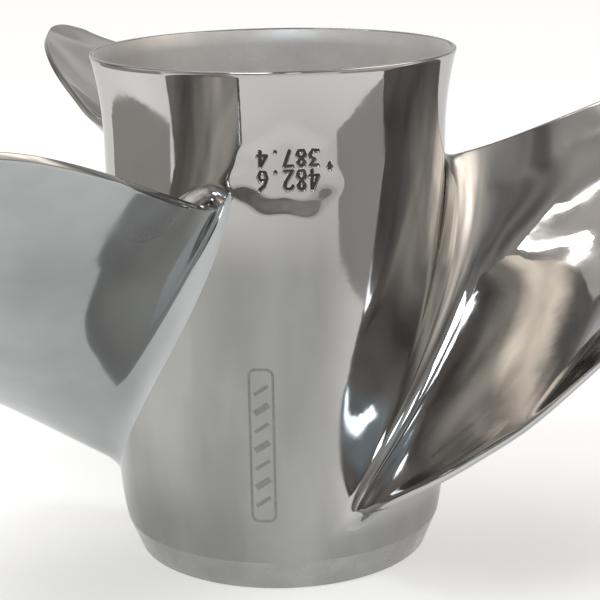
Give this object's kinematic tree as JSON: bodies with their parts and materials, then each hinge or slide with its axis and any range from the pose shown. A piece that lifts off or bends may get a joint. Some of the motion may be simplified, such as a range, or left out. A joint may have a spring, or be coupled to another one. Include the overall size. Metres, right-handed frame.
{
  "type": "boat propeller",
  "caption": "Right-hand stainless boat propeller with a flared through-hub-exhaust barrel, raked blades with large root fillets, and a splined rubber-bushed hub kit with its castle nut.",
  "frame": {"origin": "on the shaft line, in the plane of the forward rim that the propeller stands on", "axes": "+Z along the shaft line, aft, towards the flare; -Y towards the plain stretch of barrel between the right and left blades"},
  "size_m": [0.3313, 0.3443, 0.1812],
  "materials": {
    "cast_stainless": "mirror-polished cast stainless steel, satin in the forward half",
    "inner_casting": "blasted cast stainless steel",
    "turned_steel": "machined stainless steel",
    "rubber": "moulded black rubber",
    "bronze": "machined bronze"
  },
  "bodies": {
    "propeller": {"outer_barrel": "cast_stainless", "blade_right": "cast_stainless", "blade_left": "cast_stainless", "blade_back": "cast_stainless", "inner_hub": "inner_casting", "exhaust_rib_1": "inner_casting", "exhaust_rib_2": "inner_casting", "exhaust_rib_3": "inner_casting", "bushing_shell": "turned_steel", "rubber_bushing": "rubber"},
    "sleeve": {"drive_sleeve": "bronze", "thrust_washer": "bronze", "rear_spacer": "bronze"},
    "washer": {"shaft_washer": "turned_steel"},
    "nut": {"prop_nut": "turned_steel"},
    "pin": {"cotter_pin": "turned_steel"}
  },
  "joints": [
    {"name": "hub_twist", "type": "hinge", "parent": "propeller", "child": "sleeve", "pos_m": [0, 0, 0], "axis": [0, 0, 1], "range_deg": [-8, 8], "stiffness_Nm_per_rad": 120},
    {"name": "nut_travel", "type": "slide", "parent": "sleeve", "child": "washer", "axis": [0, 0, 1], "range_m": [0, 0.0127]},
    {"name": "nut_turn", "type": "hinge", "parent": "washer", "child": "nut", "pos_m": [0, 0, 0.14], "axis": [0, 0, 1], "range_deg": [0, 2880]},
    {"name": "cotter_pin_pull", "type": "slide", "parent": "nut", "child": "pin", "axis": [1, 0, 0], "range_m": [0, 0.03]}
  ],
  "couplings": [
    {"joint": "nut_turn", "follows": "nut_travel", "rad_per_m": 3957.9}
  ]
}
